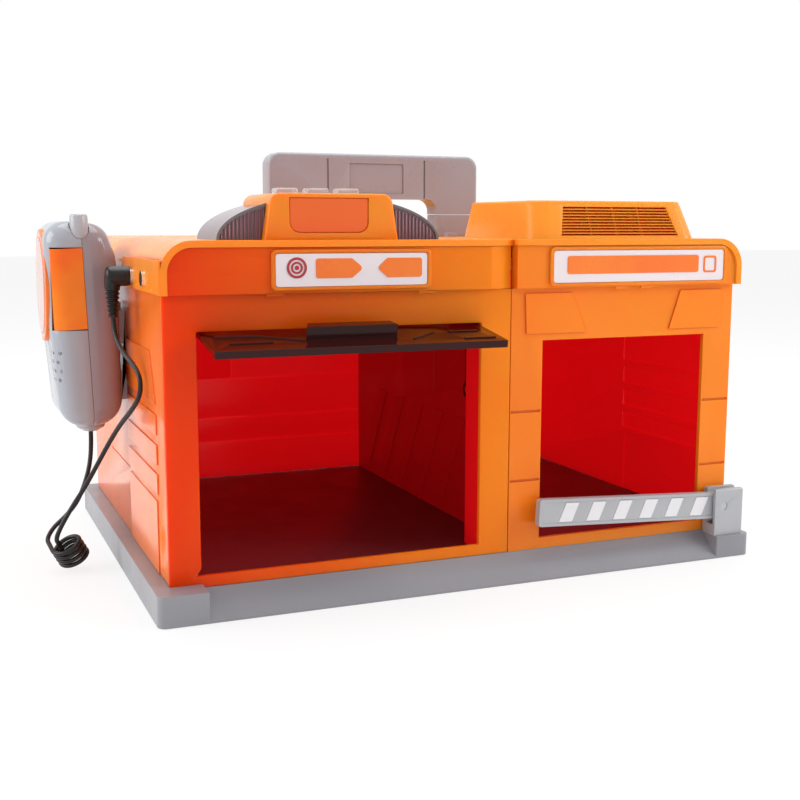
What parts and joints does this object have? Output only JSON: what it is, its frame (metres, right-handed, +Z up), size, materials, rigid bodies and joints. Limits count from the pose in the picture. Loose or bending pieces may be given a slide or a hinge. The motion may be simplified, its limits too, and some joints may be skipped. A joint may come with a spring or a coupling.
{
  "type": "toy parking garage",
  "caption": "Orange two-bay toy garage with a lift-up door, boom barrier, roof console and lamp, carry handle and corded handset.",
  "frame": {"origin": "centre of the base's underside", "axes": "+Z up; +X to the right and +Y to the back, seen from the side with the door"},
  "size_m": [0.3476, 0.2562, 0.212],
  "materials": {
    "orange_plastic": "glossy orange moulded plastic with a fine satin grain",
    "deep_orange": "deeper orange inlay, satin",
    "grey_plastic": "mid grey moulded plastic, satin",
    "light_grey": "pale mauve grey moulded plastic, satin",
    "dark_grey": "darker grey moulded plastic, satin",
    "smoke_plastic": "dark smoky see-through plastic, polished",
    "smoke_lens": "smoky ribbed lens, polished",
    "clear_button": "clear moulded plastic, polished",
    "black_plastic": "black trim, satin",
    "speaker_black": "black speaker body",
    "board": "green circuit board",
    "white_label": "white plate, smooth",
    "steel": "plain steel",
    "chrome": "bright plated metal",
    "cord_rubber": "black flexible PVC, satin"
  },
  "bodies": {
    "garage": {"base_tray": "grey_plastic", "base_screws": "steel", "facade_left": "orange_plastic", "facade_right": "orange_plastic", "left_wall": "orange_plastic", "right_wall": "orange_plastic", "rear_wall": "orange_plastic", "partition": "orange_plastic", "roof_cover": "orange_plastic", "battery_door": "orange_plastic", "fascia_left": "orange_plastic", "fascia_right": "orange_plastic", "sign_left_frame": "orange_plastic", "sign_right_frame": "orange_plastic", "sign_left_plate": "white_label", "sign_right_plate": "white_label", "console_housing": "orange_plastic", "console_front": "deep_orange", "switch_board": "board", "lamp_lens": "smoke_lens", "lamp_rim": "black_plastic", "vent_housing": "orange_plastic", "vent_louvres": "orange_plastic", "speaker": "speaker_black", "handle_feet": "light_grey", "carry_handle": "light_grey", "barrier_post": "grey_plastic", "cradle": "light_grey", "jack_sockets": "chrome", "plug_body": "cord_rubber", "strain_relief": "cord_rubber", "cord_from_plug": "cord_rubber", "cord_from_handset": "cord_rubber", "cord_coil": "cord_rubber"},
    "door": {"lift_door": "smoke_plastic", "door_pins": "steel"},
    "button_left": {"console_button_left": "clear_button"},
    "button_middle": {"console_button_middle": "clear_button"},
    "button_right": {"console_button_right": "clear_button"},
    "switch": {"power_switch": "light_grey"},
    "boom": {"barrier_arm": "grey_plastic", "barrier_stripes": "white_label", "barrier_pin": "steel"},
    "handset": {"handset_inner": "grey_plastic", "handset_outer": "grey_plastic", "handset_badge": "orange_plastic", "antenna_stub": "dark_grey", "cord_gland": "cord_rubber"},
    "talk": {"talk_bar": "orange_plastic"}
  },
  "joints": [
    {"name": "door_flip", "type": "hinge", "parent": "garage", "child": "door", "pos_m": [0, -0.06094, 0.08768], "axis": [1, 0, 0], "range_deg": [0, 81]},
    {"name": "barrier_lift", "type": "hinge", "parent": "garage", "child": "boom", "pos_m": [0.1405, -0.1134, 0.027], "axis": [0, 1, 0], "range_deg": [-2, 84]},
    {"name": "button_left_press", "type": "slide", "parent": "garage", "child": "button_left", "axis": [0, 0, -1], "range_m": [0, 0.0015], "stiffness_N_per_m": 300, "springref_m": -0.001},
    {"name": "button_middle_press", "type": "slide", "parent": "garage", "child": "button_middle", "axis": [0, 0, -1], "range_m": [0, 0.0015], "stiffness_N_per_m": 300, "springref_m": -0.001},
    {"name": "button_right_press", "type": "slide", "parent": "garage", "child": "button_right", "axis": [0, 0, -1], "range_m": [0, 0.0015], "stiffness_N_per_m": 300, "springref_m": -0.001},
    {"name": "power_slide", "type": "slide", "parent": "garage", "child": "switch", "axis": [1, 0, 0], "range_m": [0, 0.004]},
    {"name": "handset_lift", "type": "slide", "parent": "garage", "child": "handset", "axis": [0, 0, 1], "range_m": [0, 0.014]},
    {"name": "talk_press", "type": "slide", "parent": "handset", "child": "talk", "axis": [0, 1, 0], "range_m": [0, 0.0008], "stiffness_N_per_m": 400, "springref_m": -0.001}
  ]
}
